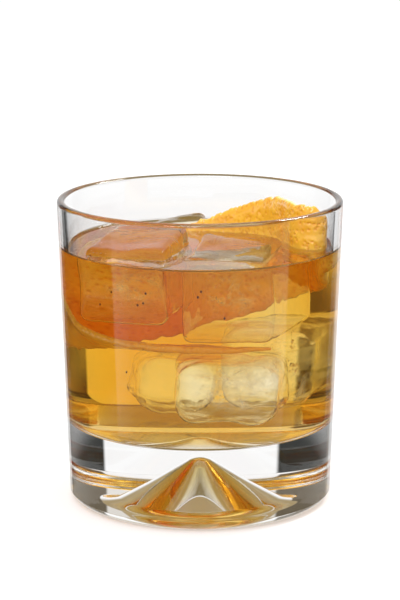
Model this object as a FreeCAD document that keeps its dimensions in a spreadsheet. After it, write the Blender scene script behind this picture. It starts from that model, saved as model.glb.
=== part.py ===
import FreeCAD, Part
import math
import os
import Sketcher

# An old fashioned: a thick-based tumbler with a conical kick under its foot, filled with whiskey
# up to the drink level, three ice cubes that break the surface and one long strip of citrus peel.
# The origin is the middle of the foot, +Z is up and -Y is the side that the drink is seen from.

doc = FreeCAD.newDocument("old_fashioned")

# ---------------------------------------------------------------- driving dimensions (mm, degrees)
SIZES = {
    # tumbler, outside
    "glass_height": 95.0,
    "rim_radius": 44.2,
    "wall_foot_radius": 41.0,
    "foot_flat_radius": 36.5,
    "foot_edge_height": 2.8,
    "foot_edge_round": 5.0,
    # tumbler, inside
    "lip_wall": 2.4,
    "floor_edge_radius": 38.3,
    "base_thickness": 25.0,
    "floor_corner_round": 3.0,
    # conical kick under the foot
    "kick_height": 16.5,
    "kick_mouth_radius": 21.5,
    "kick_tip_round": 3.5,
    "kick_flare_round": 7.0,
    # drink
    "drink_level": 80.5,
    # ice that breaks the surface
    "ice_round": 1.6,
    "ice_taper": 2.5,
    "left_ice_width": 25.0,
    "left_ice_depth": 27.0,
    "left_ice_height": 22.5,
    "middle_ice_depth": 30.5,
    "middle_ice_height": 24.5,
    "back_ice_width": 17.0,
    "back_ice_depth": 11.5,
    "back_ice_height": 21.0,
    # how far each cube's middle lies under the surface
    "left_ice_sunk": 7.5,
    "middle_ice_sunk": 11.4,
    "back_ice_sunk": 8.4,
    # how each cube is turned about +Z, then tipped sideways (positive lowers its right side) and
    # rolled toward the back
    "left_ice_turn": -18.0,
    "left_ice_tip": -3.0,
    "left_ice_roll": 7.0,
    "middle_ice_turn": -12.0,
    "middle_ice_tip": 0.0,
    "middle_ice_roll": 4.5,
    "back_ice_turn": 0.0,
    "back_ice_tip": -9.0,
    "back_ice_roll": 0.0,
    # where each cube's middle stands: the bearing from +X and the room its outermost corner has to
    # the wall. The middle cube stands beside the left one; the row is as wide as both with their gap
    "left_ice_bearing": 202.6,
    "left_ice_wall_gap": 2.4,
    "back_ice_bearing": 99.2,
    "back_ice_wall_gap": 1.1,
    "ice_gap": 3.1,
    "ice_row_width": 53.5,
    "middle_ice_back": -10.5,
    # citrus peel: a strip that runs behind the front ice and curls forward under it
    "peel_thickness": 2.8,
    "peel_steps": 64,
}

sheet = doc.addObject("Spreadsheet::Sheet", "Sizes")
for row, (name, value) in enumerate(SIZES.items(), start=1):
    sheet.set("A%d" % row, name)
    sheet.set("B%d" % row, str(value))
    sheet.setAlias("B%d" % row, name)
doc.recompute()


def size(name):
    """A driving dimension as a plain number."""
    return float(sheet.get(name))


def origin_plane(body, role):
    """A body's own origin plane, found by its role."""
    return next(f for f in body.Origin.OriginFeatures if f.Role == role)


def new_sketch(body, name, role):
    """A sketch on one of the body's own origin planes."""
    sketch = body.newObject("Sketcher::SketchObject", name)
    sketch.AttachmentSupport = [(origin_plane(body, role), "")]
    sketch.MapMode = "FlatFace"
    return sketch


def dimension(sketch, kind, *args):
    """Add a dimensional constraint; the last argument is its expression."""
    geometry, value, expression = args[:-2], args[-2], args[-1]
    index = sketch.addConstraint(Sketcher.Constraint(kind, *geometry, value))
    sketch.setExpression("Constraints[%d]" % index, expression)


def point(x, y):
    return FreeCAD.Vector(x, y, 0)


def pin(sketch, geometry, end, x, y):
    """Hold one end of a line or arc at (x, y); x and y are (value, expression) pairs, None is the axis."""
    if x is None:
        sketch.addConstraint(Sketcher.Constraint("PointOnObject", geometry, end, -2))
    else:
        dimension(sketch, "DistanceX", -1, 1, geometry, end, x[0], x[1])
    if y is None:
        sketch.addConstraint(Sketcher.Constraint("PointOnObject", geometry, end, -1))
    else:
        dimension(sketch, "DistanceY", -1, 1, geometry, end, y[0], y[1])


START, END, CENTRE = 1, 2, 3

# ---------------------------------------------------------------- places worked out from the sizes
lip_round = size("lip_wall") / 2
lip_height = size("glass_height") - lip_round
inner_rim_radius = size("rim_radius") - size("lip_wall")
corner_height = size("base_thickness") + size("floor_corner_round")
corner_start_radius = size("floor_edge_radius") - size("floor_corner_round")

LIP_HEIGHT = "Sizes.glass_height - Sizes.lip_wall / 2"
INNER_RIM = "Sizes.rim_radius - Sizes.lip_wall"
CORNER_HEIGHT = "Sizes.base_thickness + Sizes.floor_corner_round"
CORNER_START = "Sizes.floor_edge_radius - Sizes.floor_corner_round"
WALL_SLOPE = "((%s) - Sizes.floor_edge_radius) / ((%s) - (%s))" % (INNER_RIM, LIP_HEIGHT, CORNER_HEIGHT)
LEVEL_RADIUS = "Sizes.floor_edge_radius + (%s) * (Sizes.drink_level - (%s))" % (WALL_SLOPE, CORNER_HEIGHT)


def inner_radius(height):
    """Radius of the tumbler's inner wall at a height above the floor's corner."""
    slope = (inner_rim_radius - size("floor_edge_radius")) / (lip_height - corner_height)
    return size("floor_edge_radius") + slope * (height - corner_height)


def kick_tangents():
    """Where the kick's straight flank leaves its rounded tip and meets its flared mouth."""
    tip, flare = size("kick_tip_round"), size("kick_flare_round")
    across, drop = size("kick_mouth_radius"), size("kick_height") - tip - flare
    gap = math.hypot(across, drop)
    slope = math.atan2(drop, across) + math.asin((tip + flare) / gap)
    upper = point(tip * math.sin(slope), size("kick_height") - tip + tip * math.cos(slope))
    lower = point(across - flare * math.sin(slope), flare - flare * math.cos(slope))
    return upper, lower, slope


# ---------------------------------------------------------------- tumbler
def make_glass():
    """One turned profile: kick, foot, outer wall, round lip, inner wall and floor."""
    body = doc.addObject("PartDesign::Body", "Glass")
    body.Label = "glass"
    sketch = new_sketch(body, "GlassProfile", "XZ_Plane")
    upper, lower, slope = kick_tangents()
    tip, flare, mouth = size("kick_tip_round"), size("kick_flare_round"), size("kick_mouth_radius")
    foot, edge = size("foot_flat_radius"), size("foot_edge_round")
    wall_foot, foot_top = size("wall_foot_radius"), size("foot_edge_height")
    rim, floor = size("rim_radius"), size("base_thickness")
    corner = size("floor_corner_round")

    def arc(middle, radius, start, finish):
        circle = Part.Circle(middle, FreeCAD.Vector(0, 0, 1), radius)
        return sketch.addGeometry(Part.ArcOfCircle(circle, start, finish), False)

    def line(first, second):
        return sketch.addGeometry(Part.LineSegment(first, second), False)

    # the foot's edge arc is tangent to the flat foot, so its middle stands above the foot's rim
    foot_turn = math.atan2(foot_top - edge, wall_foot - foot)
    tip_arc = arc(point(0, size("kick_height") - tip), tip, math.pi / 2 - slope, math.pi / 2)
    flank = line(upper, lower)
    flare_arc = arc(point(mouth, flare), flare, 1.5 * math.pi - slope, 1.5 * math.pi)
    foot_line = line(point(mouth, 0), point(foot, 0))
    foot_arc = arc(point(foot, edge), edge, -math.pi / 2, foot_turn)
    outer_wall = line(point(wall_foot, foot_top), point(rim, lip_height))
    lip_arc = arc(point(rim - lip_round, lip_height), lip_round, 0, math.pi)
    inner_wall = line(point(inner_rim_radius, lip_height), point(size("floor_edge_radius"), corner_height))
    corner_arc = arc(point(corner_start_radius, corner_height), corner, -math.pi / 2, 0)
    floor_line = line(point(corner_start_radius, floor), point(0, floor))
    axis_line = line(point(0, floor), point(0, size("kick_height")))

    joins = [
        (tip_arc, START, flank, START), (flank, END, flare_arc, START), (flare_arc, END, foot_line, START),
        (foot_line, END, foot_arc, START), (foot_arc, END, outer_wall, START),
        (outer_wall, END, lip_arc, START), (lip_arc, END, inner_wall, START),
        (inner_wall, END, corner_arc, END), (corner_arc, START, floor_line, START),
        (floor_line, END, axis_line, START), (axis_line, END, tip_arc, END),
    ]
    tangent = {(tip_arc, flank), (flank, flare_arc)}
    for first, first_end, second, second_end in joins:
        kind = "Tangent" if (first, second) in tangent else "Coincident"
        sketch.addConstraint(Sketcher.Constraint(kind, first, first_end, second, second_end))

    pin(sketch, tip_arc, CENTRE, None,
        (size("kick_height") - tip, "Sizes.kick_height - Sizes.kick_tip_round"))
    pin(sketch, tip_arc, END, None, (size("kick_height"), "Sizes.kick_height"))
    pin(sketch, flare_arc, CENTRE, (mouth, "Sizes.kick_mouth_radius"), (flare, "Sizes.kick_flare_round"))
    pin(sketch, flare_arc, END, (mouth, "Sizes.kick_mouth_radius"), None)
    pin(sketch, foot_arc, CENTRE, (foot, "Sizes.foot_flat_radius"), (edge, "Sizes.foot_edge_round"))
    pin(sketch, foot_arc, START, (foot, "Sizes.foot_flat_radius"), None)
    dimension(sketch, "DistanceY", -1, 1, foot_arc, END, foot_top, "Sizes.foot_edge_height")
    pin(sketch, lip_arc, CENTRE, (rim - lip_round, "Sizes.rim_radius - Sizes.lip_wall / 2"),
        (lip_height, LIP_HEIGHT))
    pin(sketch, lip_arc, START, (rim, "Sizes.rim_radius"), (lip_height, LIP_HEIGHT))
    dimension(sketch, "DistanceY", -1, 1, lip_arc, END, lip_height, LIP_HEIGHT)
    pin(sketch, corner_arc, CENTRE, (corner_start_radius, CORNER_START), (corner_height, CORNER_HEIGHT))
    pin(sketch, corner_arc, END, (size("floor_edge_radius"), "Sizes.floor_edge_radius"),
        (corner_height, CORNER_HEIGHT))
    dimension(sketch, "DistanceX", -1, 1, corner_arc, START, corner_start_radius, CORNER_START)
    pin(sketch, axis_line, START, None, (floor, "Sizes.base_thickness"))

    turned = body.newObject("PartDesign::Revolution", "GlassTurned")
    turned.Profile = sketch
    turned.ReferenceAxis = (sketch, ["V_Axis"])
    turned.Angle = 360
    return body


# ---------------------------------------------------------------- drink before the ice is taken out
def make_fill():
    """The space inside the tumbler from its floor up to the drink level."""
    body = doc.addObject("PartDesign::Body", "Fill")
    body.Label = "fill"
    sketch = new_sketch(body, "FillProfile", "XZ_Plane")
    level, floor = size("drink_level"), size("base_thickness")
    corner, level_radius = size("floor_corner_round"), inner_radius(size("drink_level"))
    middle = point(corner_start_radius, corner_height)
    circle = Part.Circle(middle, FreeCAD.Vector(0, 0, 1), corner)
    floor_line = sketch.addGeometry(
        Part.LineSegment(point(0, floor), point(corner_start_radius, floor)), False)
    corner_arc = sketch.addGeometry(Part.ArcOfCircle(circle, -math.pi / 2, 0), False)
    wall = sketch.addGeometry(
        Part.LineSegment(point(size("floor_edge_radius"), corner_height), point(level_radius, level)), False)
    top = sketch.addGeometry(Part.LineSegment(point(level_radius, level), point(0, level)), False)
    axis = sketch.addGeometry(Part.LineSegment(point(0, level), point(0, floor)), False)
    for first, second in ((floor_line, corner_arc), (corner_arc, wall), (wall, top), (top, axis),
                          (axis, floor_line)):
        sketch.addConstraint(Sketcher.Constraint("Coincident", first, END, second, START))
    pin(sketch, floor_line, START, None, (floor, "Sizes.base_thickness"))
    pin(sketch, corner_arc, CENTRE, (corner_start_radius, CORNER_START), (corner_height, CORNER_HEIGHT))
    dimension(sketch, "DistanceX", -1, 1, corner_arc, START, corner_start_radius, CORNER_START)
    dimension(sketch, "DistanceY", -1, 1, corner_arc, START, floor, "Sizes.base_thickness")
    dimension(sketch, "DistanceY", -1, 1, corner_arc, END, corner_height, CORNER_HEIGHT)
    pin(sketch, wall, END, (level_radius, LEVEL_RADIUS), (level, "Sizes.drink_level"))
    pin(sketch, top, END, None, (level, "Sizes.drink_level"))
    turned = body.newObject("PartDesign::Revolution", "FillTurned")
    turned.Profile = sketch
    turned.ReferenceAxis = (sketch, ["V_Axis"])
    turned.Angle = 360
    return body


# ---------------------------------------------------------------- ice
MIDDLE_WIDTH = "Sizes.ice_row_width - Sizes.left_ice_width - Sizes.ice_gap"
middle_width = size("ice_row_width") - size("left_ice_width") - size("ice_gap")


def stand_by_wall(prefix):
    """Place of a cube's middle that leaves its outermost corner its room to the wall at its foot."""
    bearing, yaw = math.radians(size(prefix + "_bearing")), math.radians(size(prefix + "_turn"))
    way = point(math.cos(bearing), math.sin(bearing))
    half_width, half_depth = size(prefix + "_width") / 2, size(prefix + "_depth") / 2
    foot = size("drink_level") - size(prefix + "_sunk") - size(prefix + "_height") / 2
    limit = inner_radius(foot) - size(prefix + "_wall_gap")
    reaches = []
    for side, end in ((-1, -1), (1, -1), (1, 1), (-1, 1)):
        corner = point(side * half_width * math.cos(yaw) - end * half_depth * math.sin(yaw),
                       side * half_width * math.sin(yaw) + end * half_depth * math.cos(yaw))
        along = corner.dot(way)
        reaches.append(math.sqrt(limit ** 2 - corner.dot(corner) + along ** 2) - along)
    return way * min(reaches)


def make_ice(name, prefix, place, width, width_expression):
    """A tapered cube with melted edges; place is its middle seen from above."""
    body = doc.addObject("PartDesign::Body", name.title().replace("_", ""))
    body.Label = name
    sketch = new_sketch(body, body.Name + "Outline", "XY_Plane")
    half_width, half_depth = width / 2, size(prefix + "_depth") / 2
    corners = [point(-half_width, -half_depth), point(half_width, -half_depth),
               point(half_width, half_depth), point(-half_width, half_depth)]
    sides = []
    for here, there in zip(corners, corners[1:] + corners[:1]):
        sides.append(sketch.addGeometry(Part.LineSegment(here, there), False))
    for here, there in zip(sides, sides[1:] + sides[:1]):
        sketch.addConstraint(Sketcher.Constraint("Coincident", here, END, there, START))
    for index, side in enumerate(sides):
        sketch.addConstraint(Sketcher.Constraint("Horizontal" if index % 2 == 0 else "Vertical", side))
    dimension(sketch, "DistanceX", sides[0], START, sides[0], END, width, width_expression)
    dimension(sketch, "DistanceY", sides[1], START, sides[1], END, 2 * half_depth, "Sizes.%s_depth" % prefix)
    sketch.addConstraint(Sketcher.Constraint("Symmetric", sides[0], START, sides[1], END, -1, 1))
    pad = body.newObject("PartDesign::Pad", body.Name + "Pad")
    pad.Profile = sketch
    pad.Midplane = True
    pad.setExpression("Length", "Sizes.%s_height" % prefix)
    pad.setExpression("TaperAngle", "Sizes.ice_taper")
    pad.setExpression("TaperAngle2", "Sizes.ice_taper")
    doc.recompute()
    melted = body.newObject("PartDesign::Fillet", body.Name + "Melted")
    melted.Base = (pad, ["Edge%d" % (i + 1) for i in range(len(pad.Shape.Edges))])
    melted.setExpression("Radius", "Sizes.ice_round")
    turned = FreeCAD.Rotation(size(prefix + "_turn"), size(prefix + "_tip"), size(prefix + "_roll"))
    body.Placement = FreeCAD.Placement(place, turned)
    body.setExpression("Placement.Base.z", "Sizes.drink_level - Sizes.%s_sunk" % prefix)
    return body


# ---------------------------------------------------------------- citrus peel
# Stations along the strip, from its raised end at the right wall, behind the front ice, round the
# left wall and forward under the ice to its pointed tip. Each has its place across and toward the
# back as shares of the inner radius at its own height, the height of its middle from the drink
# level, its width, how far it lies over (0 upright, 90 flat with its inner face up) and the share
# of the peel's thickness that it has.
PEEL_STATIONS = [
    (0.929, 0.1, 0.5, 5.0, 0.0, 0.6),
    (0.927, -0.06, 2.6, 13.0, 0.0, 0.9),
    (0.837, -0.169, 3.2, 18.7, 0.0, 1.0),
    (0.718, -0.1, 2.6, 21.8, -4.0, 1.0),
    (0.66, 0.1, 0.4, 26.0, -6.0, 1.0),
    (0.541, 0.321, -2.0, 28.0, -4.0, 1.0),
    (0.303, 0.454, -6.6, 30.0, 0.0, 1.0),
    (0, 0.498, -12.2, 30.5, 4.0, 1.0),
    (-0.327, 0.47, -16.6, 30.0, 4.0, 1.0),
    (-0.656, 0.451, -18.6, 28.0, 0.0, 1.0),
    (-0.862, 0.267, -19.6, 25.0, 0.0, 1.0),
    (-0.886, -0.021, -22.6, 18.0, 12.0, 1.0),
    (-0.796, -0.29, -24.9, 12.5, 46.0, 0.95),
    (-0.621, -0.497, -25.5, 11.0, 70.0, 0.9),
    (-0.29, -0.58, -26.1, 9.5, 82.0, 0.85),
    (0.062, -0.601, -26.5, 7.0, 88.0, 0.75),
    (0.477, -0.539, -27.0, 1.5, 88.0, 0.3),
]


def between(values, share):
    """Catmull-Rom value at a share (0 to 1) of the way through evenly spaced values."""
    last = len(values) - 1
    span = min(int(share * last), last - 1)
    t = share * last - span
    here, there = values[span], values[span + 1]
    leave = (there - values[max(span - 1, 0)]) / 2
    arrive = (values[min(span + 2, last)] - here) / 2
    bend = 2 * t ** 3 - 3 * t ** 2
    return (bend + 1) * here - bend * there + (t ** 3 - 2 * t ** 2 + t) * leave + (t ** 3 - t ** 2) * arrive


def peel_at(share):
    """Middle, width, lay and thickness of the strip at a share of the way along it."""
    across, back, rise, width, lay, thick = (between(column, share) for column in zip(*PEEL_STATIONS))
    height = size("drink_level") + rise
    reach = inner_radius(height)
    middle = FreeCAD.Vector(across * reach, back * reach, height)
    return middle, width, math.radians(lay), thick * size("peel_thickness")


def peel_section(share):
    """The strip's cross-section: a flat rectangle square to the way that the strip runs."""
    middle, width, lay, thick = peel_at(share)
    nudge = 0.5 / size("peel_steps")
    ahead = peel_at(min(share + nudge, 1.0))[0] - peel_at(max(share - nudge, 0.0))[0]
    ahead.z = 0
    ahead.normalize()
    outward = FreeCAD.Vector(ahead.y, -ahead.x, 0)
    along_width = FreeCAD.Vector(0, 0, math.cos(lay)) + outward * math.sin(lay)
    through = ahead.cross(along_width)
    half_width, half_thick = width / 2, thick / 2
    corners = [middle + along_width * (a * half_width) + through * (b * half_thick)
               for a, b in ((-1, -1), (1, -1), (1, 1), (-1, 1))]
    return Part.makePolygon(corners + corners[:1])


def make_peel():
    """The strip lofted through its cross-sections."""
    steps = int(size("peel_steps"))
    sections = [peel_section(index / steps) for index in range(steps + 1)]
    peel = doc.addObject("Part::Feature", "OrangePeel")
    peel.Label = "orange_peel"
    solid, ruled = True, False
    peel.Shape = Part.makeLoft(sections, solid, ruled)
    peel.Placement = FreeCAD.Placement()
    return peel


# ---------------------------------------------------------------- put together
glass = make_glass()
fill = make_fill()
left_place, back_place = stand_by_wall("left_ice"), stand_by_wall("back_ice")
beside_left = left_place.x + size("left_ice_width") / 2 + size("ice_gap") + middle_width / 2
middle_place = point(beside_left, size("middle_ice_back"))
ice = [
    make_ice("ice_left", "left_ice", left_place, size("left_ice_width"), "Sizes.left_ice_width"),
    make_ice("ice_middle", "middle_ice", middle_place, middle_width, MIDDLE_WIDTH),
    make_ice("ice_back", "back_ice", back_place, size("back_ice_width"), "Sizes.back_ice_width"),
]
peel = make_peel()

sunk = doc.addObject("Part::MultiFuse", "SunkPieces")
sunk.Shapes = ice + [peel]
drink = doc.addObject("Part::Cut", "Drink")
drink.Label = "drink"
drink.Base = fill
drink.Tool = sunk
doc.recompute()

for item in doc.Objects:
    if "Invalid" in item.State or "Error" in item.State:
        raise RuntimeError("%s failed: %s" % (item.Name, item.State))

nodes = [glass, drink, peel] + ice
for node in nodes:
    if node.Shape.isNull() or not node.Shape.isValid():
        raise RuntimeError("%s has no valid shape" % node.Label)

os.makedirs("parts", exist_ok=True)
for node in nodes:
    node.Shape.exportStep("parts/%s.step" % node.Label)
    box = node.Shape.BoundBox
    print("%-12s solids %d volume %.0f  x %.1f %.1f  y %.1f %.1f  z %.1f %.1f" % (
        node.Label, len(node.Shape.Solids), node.Shape.Volume,
        box.XMin, box.XMax, box.YMin, box.YMax, box.ZMin, box.ZMax))
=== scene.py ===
import math
import random

import bmesh
import bpy
from mathutils import Euler, Matrix, Vector, noise


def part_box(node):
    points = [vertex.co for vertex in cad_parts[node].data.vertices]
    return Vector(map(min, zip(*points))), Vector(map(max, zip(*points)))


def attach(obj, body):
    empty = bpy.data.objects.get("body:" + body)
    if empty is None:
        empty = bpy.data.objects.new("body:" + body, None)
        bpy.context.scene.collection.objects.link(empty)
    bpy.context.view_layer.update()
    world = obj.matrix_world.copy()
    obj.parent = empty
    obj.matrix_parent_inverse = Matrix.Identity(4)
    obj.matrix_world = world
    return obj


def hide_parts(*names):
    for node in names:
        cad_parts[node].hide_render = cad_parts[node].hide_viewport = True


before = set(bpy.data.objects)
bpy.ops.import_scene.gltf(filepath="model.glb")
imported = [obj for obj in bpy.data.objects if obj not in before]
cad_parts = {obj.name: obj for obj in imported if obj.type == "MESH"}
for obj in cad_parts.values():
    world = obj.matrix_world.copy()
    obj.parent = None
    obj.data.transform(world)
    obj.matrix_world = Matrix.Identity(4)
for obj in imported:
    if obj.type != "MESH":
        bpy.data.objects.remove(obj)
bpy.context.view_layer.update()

# An old fashioned in its tumbler. The glass, the drink, the ice and the orange peel are spun, cut and
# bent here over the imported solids; the cubes that are wholly sunk, the cracks and air bubbles in the
# ice and the specks in the drink are made only here.

MM = 0.001

# ---------------------------------------------------------------- sizes, from the frame
GLASS_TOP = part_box("glass")[1]
HEIGHT = GLASS_TOP.z
RIM_RADIUS = GLASS_TOP.x
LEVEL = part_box("drink")[1].z
LEVEL_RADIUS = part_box("drink")[1].x
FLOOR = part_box("drink")[0].z

LIP_WALL = 2.4 * MM
WALL_FOOT_RADIUS = 41.0 * MM
FOOT_FLAT_RADIUS = 36.5 * MM
FOOT_EDGE_HEIGHT = 2.8 * MM
FOOT_EDGE_ROUND = 5.0 * MM
FLOOR_EDGE_RADIUS = 38.3 * MM
FLOOR_CORNER_ROUND = 3.0 * MM
KICK_HEIGHT = 16.5 * MM
KICK_MOUTH_RADIUS = 21.5 * MM
KICK_TIP_ROUND = 3.5 * MM
KICK_FLARE_ROUND = 7.0 * MM

TURNS = 256                 # steps round the glass and the drink
WALL_REACH = 0.15 * MM      # how far the drink reaches into the glass
ICE_REACH = 0.12 * MM       # how far the ice reaches into the drink
DRINK_DIP = 0.3 * MM        # how far the drink's middle lies under its edge's mean height
DRINK_CLIMB = 0.9 * MM      # how far its edge climbs the glass


# ---------------------------------------------------------------- small helpers
def finish_piece(bm, name, replaces=(), smooth=True):
    """Turn a bmesh into a piece of the object that rides with it."""
    mesh = bpy.data.meshes.new(name)
    bm.to_mesh(mesh)
    bm.free()
    for face in mesh.polygons:
        face.use_smooth = smooth
    piece = bpy.data.objects.new(name, mesh)
    bpy.context.scene.collection.objects.link(piece)
    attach(piece, "root")
    if replaces:
        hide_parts(*replaces)
    return piece


def keep_flats_flat(piece):
    """Take the shading at each edge from the larger face, so that walls and floors stay true."""
    weighted = piece.modifiers.new("true_flats", "WEIGHTED_NORMAL")
    weighted.mode = "FACE_AREA"
    weighted.weight = 100
    weighted.thresh = 0.0001
    weighted.keep_sharp = True


def rounded_profile(bm, corners):
    """A chain of edges in the XZ plane through (radius, height, rounding, steps) corners."""
    flat = [Vector((radius, 0, height)) for radius, height, _, _ in corners]
    chain = [bm.verts.new(co) for co in flat]
    for first, second in zip(chain, chain[1:]):
        bm.edges.new((first, second))
    for index, (_, _, rounding, steps) in enumerate(corners):
        if not rounding:
            continue
        turn = (flat[index] - flat[index - 1]).angle(flat[index + 1] - flat[index])
        bmesh.ops.bevel(bm, geom=[chain[index]], offset=rounding * math.tan(turn / 2), offset_type="OFFSET",
                        segments=steps, profile=0.5, affect="VERTICES", material=-1)


def spin_closed(bm, steps):
    """Turn the profile about the Z axis into a closed shell that faces outwards."""
    bmesh.ops.spin(bm, geom=bm.verts[:] + bm.edges[:], cent=(0, 0, 0), axis=(0, 0, 1),
                   angle=math.tau, steps=steps, use_merge=True, use_duplicate=False)
    bmesh.ops.remove_doubles(bm, verts=bm.verts[:], dist=1e-7)
    bmesh.ops.recalc_face_normals(bm, faces=bm.faces[:])


# ---------------------------------------------------------------- glass
def inner_wall_radius(height):
    """Radius of the glass's inner wall at a height."""
    low, high = FLOOR + FLOOR_CORNER_ROUND, HEIGHT - LIP_WALL / 2
    share = (height - low) / (high - low)
    return FLOOR_EDGE_RADIUS + share * (RIM_RADIUS - LIP_WALL - FLOOR_EDGE_RADIUS)


def make_tumbler():
    """Thick-based tumbler: kick, foot, outer wall, round lip, inner wall and floor in one profile."""
    drop = KICK_HEIGHT - KICK_TIP_ROUND - KICK_FLARE_ROUND
    gap = math.hypot(KICK_MOUTH_RADIUS, drop)
    slope = math.atan2(drop, KICK_MOUTH_RADIUS) + math.asin((KICK_TIP_ROUND + KICK_FLARE_ROUND) / gap)
    tip_corner = KICK_TIP_ROUND * math.tan(slope / 2)
    mouth_corner = KICK_MOUTH_RADIUS - KICK_FLARE_ROUND * math.tan(slope / 2)
    foot_turn = math.pi / 2 + math.atan2(FOOT_EDGE_HEIGHT - FOOT_EDGE_ROUND, WALL_FOOT_RADIUS - FOOT_FLAT_RADIUS)
    foot_corner = FOOT_FLAT_RADIUS + FOOT_EDGE_ROUND * math.tan(foot_turn / 2)
    lip = LIP_WALL / 2 - 0.01 * MM
    corners = [
        (0, KICK_HEIGHT, 0, 0),
        (tip_corner + 1e-6, KICK_HEIGHT, KICK_TIP_ROUND, 10),
        (mouth_corner, 0, KICK_FLARE_ROUND, 12),
        (foot_corner, 0, FOOT_EDGE_ROUND, 14),
        (WALL_FOOT_RADIUS, FOOT_EDGE_HEIGHT, 1.0 * MM, 5),
        (RIM_RADIUS, HEIGHT, lip, 12),
        (RIM_RADIUS - LIP_WALL, HEIGHT, lip, 12),
        (FLOOR_EDGE_RADIUS, FLOOR, FLOOR_CORNER_ROUND, 14),
        (0, FLOOR, 0, 0),
    ]
    bm = bmesh.new()
    rounded_profile(bm, corners)
    spin_closed(bm, TURNS)
    piece = finish_piece(bm, "tumbler", ("glass",))
    keep_flats_flat(piece)
    return piece


# ---------------------------------------------------------------- drink
def make_drink(pockets):
    """The drink up to its level, raised a little where it meets the glass, with pockets for the ice."""
    level_wall = LEVEL_RADIUS + WALL_REACH
    flat = LEVEL - DRINK_DIP
    corners = [
        (0, FLOOR - WALL_REACH, 0, 0),
        (FLOOR_EDGE_RADIUS + WALL_REACH, FLOOR - WALL_REACH, FLOOR_CORNER_ROUND + WALL_REACH, 14),
        (level_wall, flat + DRINK_CLIMB, 0, 0),
        (level_wall - 0.45 * MM, flat, 1.5 * MM, 8),
        (0, flat, 0, 0),
    ]
    bm = bmesh.new()
    rounded_profile(bm, corners)
    spin_closed(bm, TURNS)
    piece = finish_piece(bm, "amber_drink", ("drink",))
    cut = piece.modifiers.new("ice_pockets", "BOOLEAN")
    cut.operation = "DIFFERENCE"
    cut.solver = "EXACT"
    cut.object = pockets
    solid = piece.evaluated_get(bpy.context.evaluated_depsgraph_get())
    piece.data = bpy.data.meshes.new_from_object(solid)
    piece.data.name = "amber_drink"
    piece.modifiers.clear()
    bpy.data.objects.remove(pockets)
    piece.data.set_sharp_from_angle(angle=math.radians(38))
    keep_flats_flat(piece)
    return piece


# ---------------------------------------------------------------- ice
# Cubes that break the surface: (name, its node, width, depth, height in mm, turn, tilt, roll in degrees)
SURFACE_ICE = [
    ("ice_cube_left", "ice_left", (25.0, 27.0, 22.5), (-18, -3, 7)),
    ("ice_cube_middle", "ice_middle", (25.4, 30.5, 24.5), (-12, 0, 4.5)),
    ("ice_cube_back", "ice_back", (17.0, 11.5, 21.0), (0, -9, 0)),
]
# Sunk blocks: (name, middle, width, depth, height in mm, turn, tilt, roll in degrees)
SUNK_ICE = [
    ("ice_block_front", (8.0, -19.0, 41.4), (28.0, 29.5, 18.5), (-2, 2, 2)),
    ("ice_block_back", (15.0, 14.0, 43.0), (20.5, 32.5, 24.5), (3, -2, 2)),
    ("ice_block_left", (-5.0, 15.0, 37.0), (16.5, 33.0, 17.0), (-2, 3, -2)),
]


def ice_shape(middle, sizes, turns, edge, melt):
    """A melted cube: round edges, faces that are a little bellied and a wet ripple."""
    bm = bmesh.new()
    bmesh.ops.create_cube(bm, size=1)
    bmesh.ops.scale(bm, vec=Vector(sizes) * MM, verts=bm.verts[:])
    bmesh.ops.bevel(bm, geom=bm.edges[:], offset=edge * MM, offset_type="OFFSET", segments=5, profile=0.5,
                    affect="EDGES", material=-1)
    long_edges = [rim for rim in bm.edges if rim.calc_length() > 5 * MM]
    bmesh.ops.subdivide_edges(bm, edges=long_edges, cuts=18, use_grid_fill=True)
    seed = Vector((sizes[0] * 3.7, middle.x / MM, middle.y / MM))
    for vert in bm.verts:
        spot = vert.co / (10 * MM) + seed
        vert.co += noise.noise_vector(spot) * melt * MM
        vert.co += noise.noise_vector(spot * 3.3) * melt * 0.2 * MM
    turn, tilt, roll = (math.radians(angle) for angle in turns)
    place = Matrix.Translation(middle) @ Euler((roll, tilt, turn), "XYZ").to_matrix().to_4x4()
    bmesh.ops.transform(bm, matrix=place, verts=bm.verts[:])
    bmesh.ops.recalc_face_normals(bm, faces=bm.faces[:])
    return bm


def make_all_ice(wet, sunk):
    """Every cube, and one object of all their pockets, each a little smaller than its cube."""
    shapes = []
    for name, node, sizes, turns in SURFACE_ICE:
        low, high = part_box(node)
        shapes.append((name, (node,), wet, ice_shape((low + high) / 2, sizes, turns, 2.4, 0.75)))
    for name, middle, sizes, turns in SUNK_ICE:
        shapes.append((name, (), sunk, ice_shape(Vector(middle) * MM, sizes, turns, 5.0, 1.1)))
    pockets = bpy.data.meshes.new("ice_pockets")
    gathered = bmesh.new()
    for name, nodes, material, bm in shapes:
        piece_bm = bm.copy()
        bm.normal_update()
        for vert in bm.verts:
            vert.co -= vert.normal * ICE_REACH
        bm.to_mesh(pockets)
        gathered.from_mesh(pockets)
        bm.free()
        piece = finish_piece(piece_bm, name, nodes)
        piece.data.materials.append(material)
    gathered.to_mesh(pockets)
    gathered.free()
    cutter = bpy.data.objects.new("ice_pockets", pockets)
    bpy.context.scene.collection.objects.link(cutter)
    return cutter


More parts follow.
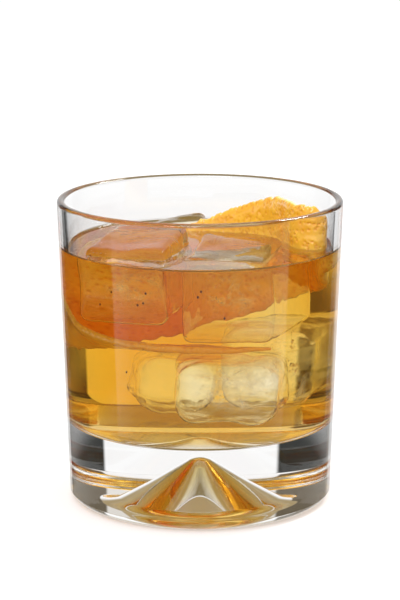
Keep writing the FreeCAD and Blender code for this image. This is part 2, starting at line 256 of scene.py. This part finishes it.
# ---------------------------------------------------------------- cracks, bubbles and specks
# Cracks: (middle in mm, width and height in mm, turn about Z and lean in degrees, waviness in mm)
CRACKS = [
    ((8.5, -31.4, 42.2), (24.0, 17.0), (-3, 2), 0.8),
    ((9.0, -24.0, 42.2), (26.0, 18.0), (-8, 10), 2.4),
    ((6.0, -12.0, 42.0), (24.0, 18.0), (12, -12), 2.4),
    ((12.0, 5.0, 42.5), (24.0, 19.0), (-6, 8), 2.4),
    ((13.0, 17.0, 43.0), (23.0, 18.0), (10, -12), 2.4),
    ((-16.0, -17.5, 72.0), (20.0, 15.0), (-20, 12), 1.6),
    ((8.0, -21.5, 70.0), (18.0, 17.0), (-12, 10), 1.8),
    ((28.0, -15.0, 43.0), (16.0, 18.0), (66, 0), 2.4),
]
BUBBLES = [
    ("trail", (25.0, -20.0, 55.5), (0.5, 0.5, 5.0), 12, 0.42),
    ("ring", (25.0, -21.5, 47.5), (1.9, 1.0, 1.9), 26, 0.36),
    ("front", (6.0, -22.0, 42.0), (7.0, 4.0, 7.0), 26, 0.3),
    ("left", (-17.0, -10.0, 70.0), (8.0, 7.0, 5.0), 18, 0.28),
]
SPECK_PLACES = [(-25.3, 72.1), (-16.2, 70.0), (-17.8, 69.2), (-0.6, 72.6), (-28.5, 67.6), (-15.5, 73.0),
                (-16.2, 55.8), (26.0, 49.6), (0.3, 74.3), (-21.0, 48.0), (7.0, 66.0), (-4.0, 60.5)]


def make_cracks(material):
    """Wavy hazy sheets in the ice, each a closed lens that thins out to its torn edge."""
    bm = bmesh.new()
    veil = bm.verts.layers.float.new("veil")
    for index, (middle, (width, height), (turn, lean), waves) in enumerate(CRACKS):
        place = Matrix.Translation(Vector(middle) * MM) @ Euler(
            (math.radians(lean), 0, math.radians(turn)), "XYZ").to_matrix().to_4x4()
        seed = Vector((index * 7.3, 2.1, 4.4))
        sheets = bmesh.new()
        sheet_veil = sheets.verts.layers.float.new("veil")
        for side in (-1, 1):
            for vert in bmesh.ops.create_grid(sheets, x_segments=44, y_segments=44, size=1)["verts"]:
                across, up = vert.co.x, vert.co.y
                spread = max(abs(across), abs(up)) / max(1e-6, math.hypot(across, up))
                angle = math.atan2(up, across)
                torn = 0.86 + 0.3 * noise.noise(Vector((math.cos(angle), math.sin(angle), 0)) * 2.1 + seed)
                torn += 0.08 * noise.noise(Vector((math.cos(angle), math.sin(angle), 0)) * 9 + seed)
                across, up = across * spread * torn, up * spread * torn
                reach = max(abs(vert.co.x), abs(vert.co.y))
                flat = Vector((across * width / 2, up * height / 2, 0))
                wave = noise.noise(flat / 6 + seed) * waves + noise.noise(flat / 1.6 + seed) * waves * 0.1
                wave += side * 0.07 * (1 - reach ** 4)
                vert.co = place @ (Vector((flat.x, wave, flat.y)) * MM)
                vert[sheet_veil] = min(1.0, (1 - reach) / 0.45)
        bmesh.ops.bridge_loops(sheets, edges=[edge for edge in sheets.edges if edge.is_boundary])
        bmesh.ops.recalc_face_normals(sheets, faces=sheets.faces[:])
        mesh = bpy.data.meshes.new("sheet")
        sheets.to_mesh(mesh)
        sheets.free()
        bm.from_mesh(mesh)
        bpy.data.meshes.remove(mesh)
    piece = finish_piece(bm, "ice_cracks")
    piece.data.materials.append(material)


def make_beads(name, material, places, fineness):
    """Small round bodies at (middle, radii) places, joined as one piece."""
    bm = bmesh.new()
    for middle, radii in places:
        made = bmesh.ops.create_icosphere(bm, subdivisions=fineness, radius=MM)["verts"]
        bmesh.ops.scale(bm, vec=radii, verts=made)
        bmesh.ops.translate(bm, vec=middle * MM, verts=made)
    piece = finish_piece(bm, name)
    piece.data.materials.append(material)


def make_bubbles(material):
    rng = random.Random(11)
    places = []
    for _, middle, spread, count, radius in BUBBLES:
        for _ in range(count):
            spot = Vector([centre + rng.gauss(0, 0.5) * width for centre, width in zip(middle, spread)])
            size = radius * rng.uniform(0.4, 1.0)
            places.append((spot, (size, size, size)))
    make_beads("ice_bubbles", material, places, 2)


def make_specks(material):
    """Crumbs of spice that drift near the front of the drink."""
    rng = random.Random(5)
    places = []
    for across, height in SPECK_PLACES:
        reach = inner_wall_radius(height * MM) / MM - 1.6
        size = rng.uniform(0.16, 0.34)
        places.append((Vector((across, -math.sqrt(reach ** 2 - across ** 2), height)), (size, size * 0.7, size * 1.3)))
    make_beads("spice_specks", material, places, 2)


# ---------------------------------------------------------------- orange peel
# Stations along the strip: place across and toward the back as shares of the inner radius at its own
# height, height of its middle from the level and its width in mm, its lay in degrees (0 upright, 90
# flat) and its share of the peel's thickness.
PEEL_STATIONS = [
    (0.929, 0.1, 0.5, 5.0, 0.0, 0.6),
    (0.927, -0.06, 2.6, 13.0, 0.0, 0.9),
    (0.837, -0.169, 3.2, 18.7, 0.0, 1.0),
    (0.718, -0.1, 2.6, 21.8, -4.0, 1.0),
    (0.66, 0.1, 0.4, 26.0, -6.0, 1.0),
    (0.541, 0.321, -2.0, 28.0, -4.0, 1.0),
    (0.303, 0.454, -6.6, 30.0, 0.0, 1.0),
    (0, 0.498, -12.2, 30.5, 4.0, 1.0),
    (-0.327, 0.47, -16.6, 30.0, 4.0, 1.0),
    (-0.656, 0.451, -18.6, 28.0, 0.0, 1.0),
    (-0.862, 0.267, -19.6, 25.0, 0.0, 1.0),
    (-0.886, -0.021, -22.6, 18.0, 12.0, 1.0),
    (-0.796, -0.29, -24.9, 12.5, 46.0, 0.95),
    (-0.621, -0.497, -25.5, 11.0, 70.0, 0.9),
    (-0.29, -0.58, -26.1, 9.5, 82.0, 0.85),
    (0.062, -0.601, -26.5, 7.0, 88.0, 0.75),
    (0.477, -0.539, -27.0, 1.5, 88.0, 0.3),
]
PEEL_THICKNESS = 2.8 * MM


def between(values, share):
    """Catmull-Rom value at a share (0 to 1) of the way through evenly spaced values."""
    last = len(values) - 1
    span = min(int(share * last), last - 1)
    t = share * last - span
    here, there = values[span], values[span + 1]
    leave = (there - values[max(span - 1, 0)]) / 2
    arrive = (values[min(span + 2, last)] - here) / 2
    bend = 2 * t ** 3 - 3 * t ** 2
    return (bend + 1) * here - bend * there + (t ** 3 - 2 * t ** 2 + t) * leave + (t ** 3 - t ** 2) * arrive


def peel_middle(share):
    across, back, rise, width, lay, thick = (between(column, share) for column in zip(*PEEL_STATIONS))
    height = LEVEL + rise * MM
    reach = inner_wall_radius(height)
    middle = Vector((across * reach, back * reach, height))
    return middle, width * MM, math.radians(lay), thick * PEEL_THICKNESS


def peel_frame(share):
    """Middle, width, thickness, the way across the strip and the way from zest to pith."""
    middle, width, lay, thick = peel_middle(share)
    ahead = peel_middle(min(share + 0.008, 1.0))[0] - peel_middle(max(share - 0.008, 0.0))[0]
    ahead.z = 0
    ahead.normalize()
    outward = Vector((ahead.y, -ahead.x, 0))
    across = Vector((0, 0, math.cos(lay))) + outward * math.sin(lay)
    return middle, width, thick, across, ahead.cross(across)


def pore_depth(spot):
    """Depth of the zest's oil pores at a place measured in millimetres along and across."""
    near = noise.voronoi(Vector((spot.x, spot.y, 0)) / 1.15)[0][0]
    return max(0.0, 1 - near / 0.5) ** 1.3


def make_peel():
    """The strip: a pored zest face and a plainer pith face, bridged round the ragged cut edge."""
    along_steps, across_steps = 620, 74
    bm = bmesh.new()
    pith = bm.verts.layers.float.new("pith")
    hollow = bm.verts.layers.float.new("pore")
    frames = {}
    walked = 0.0
    for step in range(along_steps + 1):
        share = (step / along_steps) ** 1.15
        frame_here = peel_frame(share)
        if step:
            walked += (frame_here[0] - frames[step - 1][0]).length / MM
        frames[step] = frame_here + (share, walked)
    for side in (-1, 1):
        made = bmesh.ops.create_grid(bm, x_segments=along_steps, y_segments=across_steps, size=1)["verts"]
        for vert in made:
            step, reach = round((vert.co.x + 1) / 2 * along_steps), vert.co.y
            middle, width, thick, across, through, share, walked = frames[step]
            rag = noise.noise(Vector((walked * 0.35, reach, 3.1))) * 0.9 + noise.noise(
                Vector((walked * 1.1, reach, 7.7))) * 0.45
            rag *= MM * abs(reach) ** 8 * math.copysign(1, reach) * min(1, thick / PEEL_THICKNESS)
            spot = Vector((walked, reach * width / 2 / MM, 0))
            depth = pore_depth(spot) if side < 0 else 0.0
            swell = noise.noise(spot / 7) * 0.45 * MM + noise.noise(spot / 2.2) * 0.12 * MM
            bevel = abs(reach) ** 14 * 0.3
            push = side * thick * (0.5 - bevel) + swell - side * depth * 0.42 * MM
            vert.co = middle + across * (reach * width / 2 + rag) + through * push
            vert[pith] = max(0.0, min(1.0, (0.5 - share) / 0.12)) if side > 0 else 0.0
            vert[hollow] = depth
    bmesh.ops.bridge_loops(bm, edges=[edge for edge in bm.edges if edge.is_boundary])
    bmesh.ops.recalc_face_normals(bm, faces=bm.faces[:])
    return finish_piece(bm, "orange_strip", ("orange_peel",))


# ---------------------------------------------------------------- materials
def new_material(name):
    material = bpy.data.materials.new(name)
    material.use_nodes = True
    tree = material.node_tree
    return material, tree, tree.nodes["Principled BSDF"]


def clear_glass():
    material, tree, shader = new_material("clear_glass")
    shader.inputs["Base Color"].default_value = (1, 1, 1, 1)
    shader.inputs["Roughness"].default_value = 0.0
    shader.inputs["IOR"].default_value = 1.5
    shader.inputs["Transmission Weight"].default_value = 1.0
    return material


def amber_liquid():
    material, tree, shader = new_material("amber_liquid")
    shader.inputs["Base Color"].default_value = (1, 1, 1, 1)
    shader.inputs["Roughness"].default_value = 0.0
    shader.inputs["IOR"].default_value = 1.35
    shader.inputs["Transmission Weight"].default_value = 1.0
    soak = tree.nodes.new("ShaderNodeVolumeAbsorption")
    soak.inputs["Color"].default_value = (0.975, 0.79, 0.06, 1)
    soak.inputs["Density"].default_value = 58
    tree.links.new(soak.outputs[0], tree.nodes["Material Output"].inputs["Volume"])
    return material


def ice_material(name, index, frost):
    """Wet ice; above the drink it carries streaks of frost."""
    material, tree, shader = new_material(name)
    nodes, links = tree.nodes, tree.links
    shader.inputs["Base Color"].default_value = (1, 1, 1, 1)
    shader.inputs["IOR"].default_value = index
    shader.inputs["Transmission Weight"].default_value = 1.0
    place = nodes.new("ShaderNodeTexCoord")
    stretch = nodes.new("ShaderNodeMapping")
    stretch.inputs["Rotation"].default_value = (0, 0, math.radians(25))
    stretch.inputs["Scale"].default_value = (90, 330, 160)
    links.new(place.outputs["Object"], stretch.inputs["Vector"])
    streaks = nodes.new("ShaderNodeTexNoise")
    streaks.inputs["Scale"].default_value = 1.0
    streaks.inputs["Detail"].default_value = 4
    links.new(stretch.outputs[0], streaks.inputs["Vector"])
    split = nodes.new("ShaderNodeSeparateXYZ")
    links.new(place.outputs["Object"], split.inputs[0])
    above = nodes.new("ShaderNodeMapRange")
    above.inputs["From Min"].default_value = LEVEL - 0.2 * MM
    above.inputs["From Max"].default_value = LEVEL + 0.8 * MM
    above.inputs["To Max"].default_value = frost
    links.new(split.outputs["Z"], above.inputs["Value"])
    rough = nodes.new("ShaderNodeMapRange")
    rough.inputs["From Min"].default_value = 0.5
    rough.inputs["From Max"].default_value = 0.68
    rough.inputs["To Min"].default_value = 0.015
    links.new(streaks.outputs["Fac"], rough.inputs["Value"])
    links.new(above.outputs[0], rough.inputs["To Max"])
    links.new(rough.outputs[0], shader.inputs["Roughness"])
    return material


def ice_haze():
    """White haze of the cracks: patches and fine streaks that thin out toward each crack's edge."""
    material, tree, shader = new_material("ice_haze")
    nodes, links = tree.nodes, tree.links
    shader.inputs["Base Color"].default_value = (1.0, 0.99, 0.95, 1)
    shader.inputs["Roughness"].default_value = 0.5
    place = nodes.new("ShaderNodeTexCoord")
    patch = nodes.new("ShaderNodeTexNoise")
    patch.inputs["Scale"].default_value = 150
    patch.inputs["Detail"].default_value = 7
    patch.inputs["Roughness"].default_value = 0.68
    patch.inputs["Distortion"].default_value = 0.8
    links.new(place.outputs["Object"], patch.inputs["Vector"])
    cover = nodes.new("ShaderNodeMapRange")
    cover.inputs["From Min"].default_value = 0.46
    cover.inputs["From Max"].default_value = 0.76
    cover.inputs["To Min"].default_value = 0.0
    cover.inputs["To Max"].default_value = 0.5
    links.new(patch.outputs["Fac"], cover.inputs["Value"])
    veil = nodes.new("ShaderNodeAttribute")
    veil.attribute_name = "veil"
    thin = nodes.new("ShaderNodeMath")
    thin.operation = "MULTIPLY"
    links.new(cover.outputs[0], thin.inputs[0])
    links.new(veil.outputs["Fac"], thin.inputs[1])
    links.new(thin.outputs[0], shader.inputs["Alpha"])
    return material


def bubble_skin():
    material, tree, shader = new_material("bubble_skin")
    shader.inputs["Base Color"].default_value = (1, 1, 1, 1)
    shader.inputs["Roughness"].default_value = 0.0
    shader.inputs["IOR"].default_value = 1.45
    shader.inputs["Transmission Weight"].default_value = 1.0
    return material


def spice():
    """Dark brown crumbs with lighter grain."""
    material, tree, shader = new_material("spice")
    grain = tree.nodes.new("ShaderNodeTexNoise")
    grain.inputs["Scale"].default_value = 2500
    place = tree.nodes.new("ShaderNodeTexCoord")
    tree.links.new(place.outputs["Object"], grain.inputs["Vector"])
    brown = tree.nodes.new("ShaderNodeValToRGB")
    brown.color_ramp.elements[0].color = (0.03, 0.012, 0.005, 1)
    brown.color_ramp.elements[1].color = (0.16, 0.06, 0.02, 1)
    tree.links.new(grain.outputs["Fac"], brown.inputs["Fac"])
    tree.links.new(brown.outputs["Color"], shader.inputs["Base Color"])
    shader.inputs["Roughness"].default_value = 0.6
    return material


def orange_zest():
    """Wet orange zest with darker pores, painted lighter and yellower under the drink's level, and pale pith on the
    other face.
    """
    material, tree, shader = new_material("orange_zest")
    nodes, links = tree.nodes, tree.links
    place = nodes.new("ShaderNodeTexCoord")
    mottle = nodes.new("ShaderNodeTexNoise")
    mottle.inputs["Scale"].default_value = 170
    mottle.inputs["Detail"].default_value = 3
    links.new(place.outputs["Object"], mottle.inputs["Vector"])
    zest = nodes.new("ShaderNodeValToRGB")
    zest.color_ramp.elements[0].position = 0.3
    zest.color_ramp.elements[0].color = (0.90, 0.41, 0.02, 1)
    zest.color_ramp.elements[1].position = 0.7
    zest.color_ramp.elements[1].color = (0.97, 0.55, 0.045, 1)
    links.new(mottle.outputs["Fac"], zest.inputs["Fac"])
    split = nodes.new("ShaderNodeSeparateXYZ")
    links.new(place.outputs["Object"], split.inputs[0])
    # Painted light: under the level the zest gets a brighter, yellower colour, which eases to a redder orange from 13
    # to 22 mm down.
    under = nodes.new("ShaderNodeMapRange")
    under.inputs["From Min"].default_value = LEVEL + 1.5 * MM
    under.inputs["From Max"].default_value = LEVEL - 2.5 * MM
    links.new(split.outputs["Z"], under.inputs["Value"])
    painted_light_under_level = nodes.new("ShaderNodeMix")
    painted_light_under_level.data_type = "RGBA"
    painted_light_under_level.inputs["B"].default_value = (0.99, 0.68, 0.10, 1)
    links.new(under.outputs[0], painted_light_under_level.inputs["Factor"])
    links.new(zest.outputs["Color"], painted_light_under_level.inputs["A"])
    deep = nodes.new("ShaderNodeMapRange")
    deep.inputs["From Min"].default_value = LEVEL - 13 * MM
    deep.inputs["From Max"].default_value = LEVEL - 22 * MM
    links.new(split.outputs["Z"], deep.inputs["Value"])
    painted_light_deep = nodes.new("ShaderNodeMix")
    painted_light_deep.data_type = "RGBA"
    painted_light_deep.inputs["B"].default_value = (0.95, 0.5, 0.05, 1)
    links.new(deep.outputs[0], painted_light_deep.inputs["Factor"])
    links.new(painted_light_under_level.outputs["Result"], painted_light_deep.inputs["A"])
    pore = nodes.new("ShaderNodeAttribute")
    pore.attribute_name = "pore"
    pored = nodes.new("ShaderNodeMix")
    pored.data_type = "RGBA"
    pored.inputs["B"].default_value = (0.80, 0.28, 0.01, 1)
    links.new(pore.outputs["Fac"], pored.inputs["Factor"])
    links.new(painted_light_deep.outputs["Result"], pored.inputs["A"])
    pith = nodes.new("ShaderNodeAttribute")
    pith.attribute_name = "pith"
    skin = nodes.new("ShaderNodeMix")
    skin.data_type = "RGBA"
    skin.inputs["B"].default_value = (0.93, 0.72, 0.36, 1)
    links.new(pith.outputs["Fac"], skin.inputs["Factor"])
    links.new(pored.outputs["Result"], skin.inputs["A"])
    links.new(skin.outputs["Result"], shader.inputs["Base Color"])
    shader.inputs["Roughness"].default_value = 0.3
    shader.inputs["Coat Weight"].default_value = 0.9
    shader.inputs["Coat Roughness"].default_value = 0.08
    return material


# ---------------------------------------------------------------- studio
def make_studio():
    """White room: a white world with dark cards and painted light and shade that only reflections and refractions see.
    """
    scene = bpy.context.scene
    world = bpy.data.worlds.new("white_room")
    scene.world = world
    world.use_nodes = True
    tree = world.node_tree
    nodes, links = tree.nodes, tree.links
    back = nodes["Background"]

    def maths(operation, first, second=0.0, third=0.0):
        node = nodes.new("ShaderNodeMath")
        node.operation = operation
        for socket, value in zip(node.inputs, (first, second, third)):
            if isinstance(value, (int, float)):
                socket.default_value = value
            else:
                links.new(value, socket)
        return node.outputs[0]

    def step(value, low, high):
        node = nodes.new("ShaderNodeMapRange")
        node.interpolation_type = "SMOOTHSTEP"
        links.new(value, node.inputs["Value"])
        node.inputs["From Min"].default_value = low
        node.inputs["From Max"].default_value = high
        return node.outputs[0]

    coordinate = nodes.new("ShaderNodeTexCoord")
    split = nodes.new("ShaderNodeSeparateXYZ")
    links.new(coordinate.outputs["Generated"], split.inputs[0])
    azimuth = maths("DEGREES", maths("ARCTAN2", split.outputs["X"], split.outputs["Y"]))
    elevation = maths("DEGREES", maths("ARCSINE", split.outputs["Z"]))

    def card(left, right, low, high, soft=1.0):
        across = maths("MULTIPLY", step(azimuth, left - soft, left + soft),
                       maths("SUBTRACT", 1.0, step(azimuth, right - soft, right + soft)))
        up = maths("MULTIPLY", step(elevation, low - soft, low + soft),
                   maths("SUBTRACT", 1.0, step(elevation, high - soft, high + soft)))
        return maths("MULTIPLY", across, up)

    def paint(mask, below, above):
        node = nodes.new("ShaderNodeMix")
        node.data_type = "RGBA"
        for socket, value in ((node.inputs["Factor"], mask), (node.inputs["A"], below), (node.inputs["B"], above)):
            if isinstance(value, tuple):
                socket.default_value = value + (1,)
            else:
                links.new(value, socket)
        return node.outputs["Result"]

    def pair(low, high):
        return maths("MAXIMUM", card(34, 100, low, high), card(-100, -25, low, high))

    path = nodes.new("ShaderNodeLightPath")
    front = maths("MULTIPLY", maths("SUBTRACT", 1.0, step(split.outputs["Y"], -0.5, -0.1)),
                  maths("SUBTRACT", 1.0, step(elevation, 42, 56)))
    overhead = maths("MAXIMUM", step(elevation, 36, 50),
                     maths("MULTIPLY", step(split.outputs["Y"], -0.3, 0.1), step(elevation, 12, 26)))
    front_low = maths("MULTIPLY", front, maths("SUBTRACT", 1.0, step(elevation, -10, -3)))
    under = maths("SUBTRACT", 1.0, step(elevation, -34, -26))
    # Painted light and shade for refractions: a dim amber overhead and up behind, a brighter front with a dimmer band
    # below its horizon, a painted amber-brown shadow of the table steeply below, and dark, grey and brown cards at the
    # sides.
    through = paint(overhead, (1.0, 1.0, 1.0), (0.42, 0.32, 0.17))
    through = paint(front, through, (1.35, 1.32, 1.26))
    through = paint(front_low, through, (0.5, 0.5, 0.48))
    through = paint(under, through, (0.22, 0.16, 0.06))
    through = paint(pair(-12.5, -10), through, (0.17, 0.165, 0.16))
    through = paint(pair(-21, -12.5), through, (0.018, 0.02, 0.019))
    through = paint(maths("MAXIMUM", card(33, 100, -32, -21), card(-100, -28, -32, -21)), through,
                    (0.45, 0.42, 0.36))
    through = paint(pair(5, 24), through, (0.13, 0.1, 0.06))
    sides = maths("MAXIMUM", pair(-21, -11.5), pair(11, 24))
    open_side = maths("MAXIMUM", step(split.outputs["Y"], -0.25, 0.3), step(split.outputs["Z"], 0.7, 0.85))
    shade = maths("MAXIMUM", maths("SUBTRACT", 1.0, open_side), sides)
    glossed = paint(maths("MAXIMUM", card(28, 100, -45, 9), card(-100, -28, -45, 9)), (1.0, 1.0, 1.0),
                    (0.3, 0.28, 0.24))
    glossed = paint(shade, glossed, (0.03, 0.03, 0.03))
    seen = paint(path.outputs["Is Glossy Ray"], (1.0, 1.0, 1.0), glossed)
    seen = paint(path.outputs["Is Transmission Ray"], seen, through)
    links.new(seen, back.inputs["Color"])

    bm = bmesh.new()
    bmesh.ops.create_grid(bm, x_segments=1, y_segments=1, size=4)
    mesh = bpy.data.meshes.new("white_table")
    bm.to_mesh(mesh)
    bm.free()
    table = bpy.data.objects.new("white_table", mesh)
    mesh.transform(Matrix.Translation((0, 0, -0.00005)))
    table.visible_glossy = False
    table.visible_transmission = False
    scene.collection.objects.link(table)
    material, tree, shader = new_material("white_table")
    shader.inputs["Base Color"].default_value = (0.6, 0.6, 0.6, 1)
    shader.inputs["Roughness"].default_value = 0.6
    shader.inputs["Specular IOR Level"].default_value = 0.0
    shader.inputs["Emission Color"].default_value = (1, 1, 1, 1)
    shader.inputs["Emission Strength"].default_value = 0.4
    mesh.materials.append(material)

    add_lamp("front_window", (-0.25, -0.95, 0.95), 0.6, 7.0)
    add_lamp("back_window", (0.45, 0.35, 0.75), 0.25, 4.0)


def add_lamp(name, place, width, power):
    """A square soft lamp aimed at the drink, not seen through the glass."""
    data = bpy.data.lights.new(name, "AREA")
    data.energy = power
    data.size = width
    lamp = bpy.data.objects.new(name, data)
    lamp.location = place
    lamp.rotation_euler = (Vector((0, 0, LEVEL)) - lamp.location).to_track_quat("-Z", "Y").to_euler()
    lamp.visible_transmission = False
    bpy.context.scene.collection.objects.link(lamp)


def make_camera():
    """Long lens a little above the rim, so that the drink's surface shows."""
    scene = bpy.context.scene
    data = bpy.data.cameras.new("camera")
    data.sensor_fit = "VERTICAL"
    data.sensor_height = 24
    data.lens = 95.2
    camera = bpy.data.objects.new("camera", data)
    camera.location = (0, -0.7224, 0.2268)
    camera.rotation_euler = (math.radians(90 - 12.81), 0, 0)
    scene.collection.objects.link(camera)
    scene.camera = camera


def set_render():
    scene = bpy.context.scene
    scene.view_settings.view_transform = "Standard"
    cycles = scene.cycles
    cycles.max_bounces = 40
    cycles.transmission_bounces = 40
    cycles.transparent_max_bounces = 24
    cycles.glossy_bounces = 40
    cycles.diffuse_bounces = 5
    cycles.caustics_refractive = True
    cycles.caustics_reflective = True
    cycles.blur_glossy = 0.0


# ---------------------------------------------------------------- make everything
tumbler = make_tumbler()
tumbler.data.materials.append(clear_glass())
drink = make_drink(make_all_ice(ice_material("wet_ice", 1.32, 0.4), ice_material("sunk_ice", 1.345, 0.0)))
drink.data.materials.clear()
drink.data.materials.append(amber_liquid())

peel = make_peel()
peel.data.materials.append(orange_zest())
make_cracks(ice_haze())
make_bubbles(bubble_skin())
make_specks(spice())

make_studio()
make_camera()
set_render()
